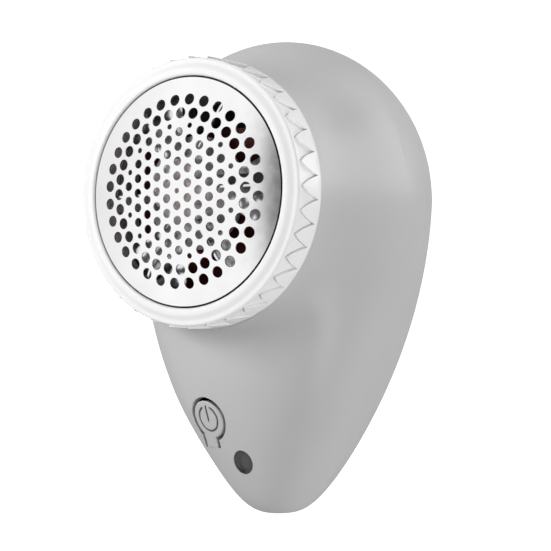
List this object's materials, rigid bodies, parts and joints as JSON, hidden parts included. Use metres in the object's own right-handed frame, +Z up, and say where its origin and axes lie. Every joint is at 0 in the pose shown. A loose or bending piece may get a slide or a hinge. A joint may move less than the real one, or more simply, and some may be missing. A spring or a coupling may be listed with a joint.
{
  "type": "fabric shaver",
  "caption": "Hand-held fabric shaver with an egg-shaped body, round perforated foil in a toothed cap ring, spinning cutter, lint drawer and power button.",
  "frame": {"origin": "under the middle of the whole object's box, at the height of the body's lower tip", "axes": "+Z up with the cutting head above the tip, -Y is the side the foil faces, +X to the right seen from the foil side"},
  "size_m": [0.0688, 0.078, 0.11],
  "materials": {
    "satin_grey_plastic": "satin",
    "gloss_white_plastic": "gloss",
    "black_rubber": "matt",
    "black_plastic": "matt",
    "dark_grey_plastic": "satin",
    "natural_plastic": "satin",
    "polished_foil_steel": "polished",
    "blade_steel": "ground",
    "plated_steel": "plated",
    "copper_segments": "satin",
    "sintered_bronze": "matt",
    "ferrite": "matt",
    "smoked_lens": "satin, smoked",
    "cell_wrap": "shrink film",
    "nickel_strip": "plated",
    "board_green": "solder mask",
    "led_resin": "clear tinted",
    "red_lead": "PVC"
  },
  "bodies": {
    "housing": {"front_shell": "satin_grey_plastic", "rear_cover": "satin_grey_plastic", "motor_end_cap": "black_plastic", "switch_body": "black_plastic", "motor_lead_black": "black_plastic", "cutter_chamber": "dark_grey_plastic", "battery_cradle": "dark_grey_plastic", "cover_screw_1": "plated_steel", "cover_screw_2": "plated_steel", "cover_screw_3": "plated_steel", "cover_screw_4": "plated_steel", "motor_screw_1": "plated_steel", "motor_screw_2": "plated_steel", "motor_can": "plated_steel", "usb_socket": "plated_steel", "front_bush": "sintered_bronze", "magnet_left": "ferrite", "magnet_right": "ferrite", "indicator_lens": "smoked_lens", "battery_cell": "cell_wrap", "battery_contact_top": "nickel_strip", "battery_contact_bottom": "nickel_strip", "circuit_board": "board_green", "charge_board": "board_green", "status_led": "led_resin", "motor_lead_red": "red_lead"},
    "cutter": {"blade_hub": "natural_plastic", "blade_1": "blade_steel", "blade_2": "blade_steel", "blade_3": "blade_steel", "blade_4": "blade_steel", "blade_5": "blade_steel", "blade_6": "blade_steel", "drive_shaft": "plated_steel", "armature": "plated_steel", "commutator": "copper_segments"},
    "cap": {"foil": "polished_foil_steel", "foil_carrier": "natural_plastic", "foil_gasket": "black_rubber"},
    "ring": {"cap_ring": "gloss_white_plastic"},
    "bin": {"lint_bin": "satin_grey_plastic"},
    "button": {"power_button": "satin_grey_plastic"},
    "plunger": {"switch_plunger": "natural_plastic"}
  },
  "joints": [
    {"name": "cutter_spin", "type": "hinge", "parent": "housing", "child": "cutter", "pos_m": [0, -0.029, 0.0721], "axis": [0, -1, 0], "continuous": true},
    {"name": "cap_slide", "type": "slide", "parent": "housing", "child": "cap", "axis": [0, -1, 0], "range_m": [0, 0.02]},
    {"name": "ring_twist", "type": "hinge", "parent": "cap", "child": "ring", "pos_m": [0, -0.032, 0.0721], "axis": [0, -1, 0], "range_deg": [0, 30]},
    {"name": "bin_slide", "type": "slide", "parent": "housing", "child": "bin", "axis": [0, 1, 0], "range_m": [0, 0.05]},
    {"name": "button_press", "type": "hinge", "parent": "housing", "child": "button", "pos_m": [-0.00532, -0.01536, 0.0163], "axis": [-0.9806, 0.1961, 0], "range_deg": [0, 3], "stiffness_Nm_per_rad": 0.2},
    {"name": "plunger_travel", "type": "slide", "parent": "housing", "child": "plunger", "axis": [0, 1, 0], "range_m": [0, 0.0003]}
  ],
  "couplings": [
    {"joint": "plunger_travel", "follows": "button_press", "m_per_rad": 0.0056}
  ]
}
